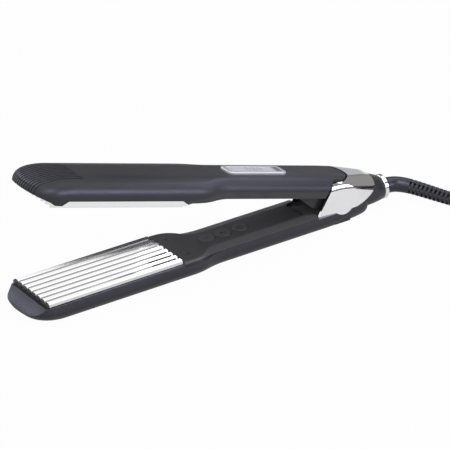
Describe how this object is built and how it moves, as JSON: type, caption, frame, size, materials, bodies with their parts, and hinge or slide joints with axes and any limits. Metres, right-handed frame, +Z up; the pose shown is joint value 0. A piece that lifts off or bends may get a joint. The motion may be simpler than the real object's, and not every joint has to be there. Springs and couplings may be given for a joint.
{
  "type": "hair waver",
  "caption": "Two-armed hair waver with ridged heated plates that mesh, a sprung hinge under a bright hood, control buttons, a small display and a coiled mains cord.",
  "frame": {"origin": "on the surface the waver lies on, under the middle of its length and width without the cord", "axes": "+X along the arms from the tip to the cord end, +Y across the width, +Z up out of the surface"},
  "size_m": [0.393, 0.1135, 0.0889],
  "materials": {
    "arm_shell": "soft-touch charcoal",
    "inner_cover": "satin charcoal",
    "plate_metal": "polished pale metal",
    "chrome_trim": "bright plated",
    "end_black": "satin black",
    "button_black": "satin charcoal",
    "knuckle_plastic": "moulded black",
    "steel": "plain steel",
    "ceramic": "matt ceramic",
    "board": "solder mask",
    "bezel_silver": "satin plated",
    "lens": "glossy window",
    "soft_rubber": "matt rubber",
    "cord_black": "matt black"
  },
  "bodies": {
    "lower_arm": {"bumpers": "soft_rubber", "collar": "chrome_trim", "control_board": "board", "cord": "cord_black", "cord_clamp": "end_black", "cord_coil": "cord_black", "cord_tail": "cord_black", "cord_tie": "cord_black", "end_piece": "end_black", "end_strip": "end_black", "hinge_hood": "chrome_trim", "hinge_pin": "steel", "inner_leads": "cord_black", "lower_carrier": "knuckle_plastic", "lower_cover": "inner_cover", "lower_heater": "ceramic", "lower_plate": "plate_metal", "lower_plate_springs": "steel", "lower_screws": "steel", "lower_shell": "arm_shell", "lower_thermistor": "ceramic", "plug_blades": "steel", "plug_body": "cord_black", "strain_relief": "cord_black", "switches": "board", "thermal_fuse": "steel", "torsion_spring": "steel"},
    "upper_arm": {"upper_shell": "arm_shell", "upper_cover": "inner_cover", "upper_knuckle": "knuckle_plastic", "upper_plate": "plate_metal", "upper_carrier": "knuckle_plastic", "upper_heater": "ceramic", "upper_thermistor": "ceramic", "upper_plate_springs": "steel", "upper_screws": "steel", "display_bezel": "bezel_silver", "display_lens": "lens", "display_module": "lens", "display_board": "board"},
    "minus_key": {"minus_button": "button_black"},
    "mode_key": {"mode_button": "button_black"},
    "power_key": {"power_button": "button_black"}
  },
  "joints": [
    {"name": "arm_hinge", "type": "hinge", "parent": "lower_arm", "child": "upper_arm", "pos_m": [0.0915, 0, 0.0141], "axis": [0, -1, 0], "range_deg": [0, 16.5], "stiffness_Nm_per_rad": 0.9, "springref_deg": -20.05},
    {"name": "minus_press", "type": "slide", "parent": "lower_arm", "child": "minus_key", "axis": [0, 0, -1], "range_m": [0, 0.0006], "stiffness_N_per_m": 3000, "springref_m": -0.0004},
    {"name": "mode_press", "type": "slide", "parent": "lower_arm", "child": "mode_key", "axis": [0, 0, -1], "range_m": [0, 0.0006], "stiffness_N_per_m": 3000, "springref_m": -0.0004},
    {"name": "power_press", "type": "slide", "parent": "lower_arm", "child": "power_key", "axis": [0, 0, -1], "range_m": [0, 0.0006], "stiffness_N_per_m": 3000, "springref_m": -0.0004}
  ]
}
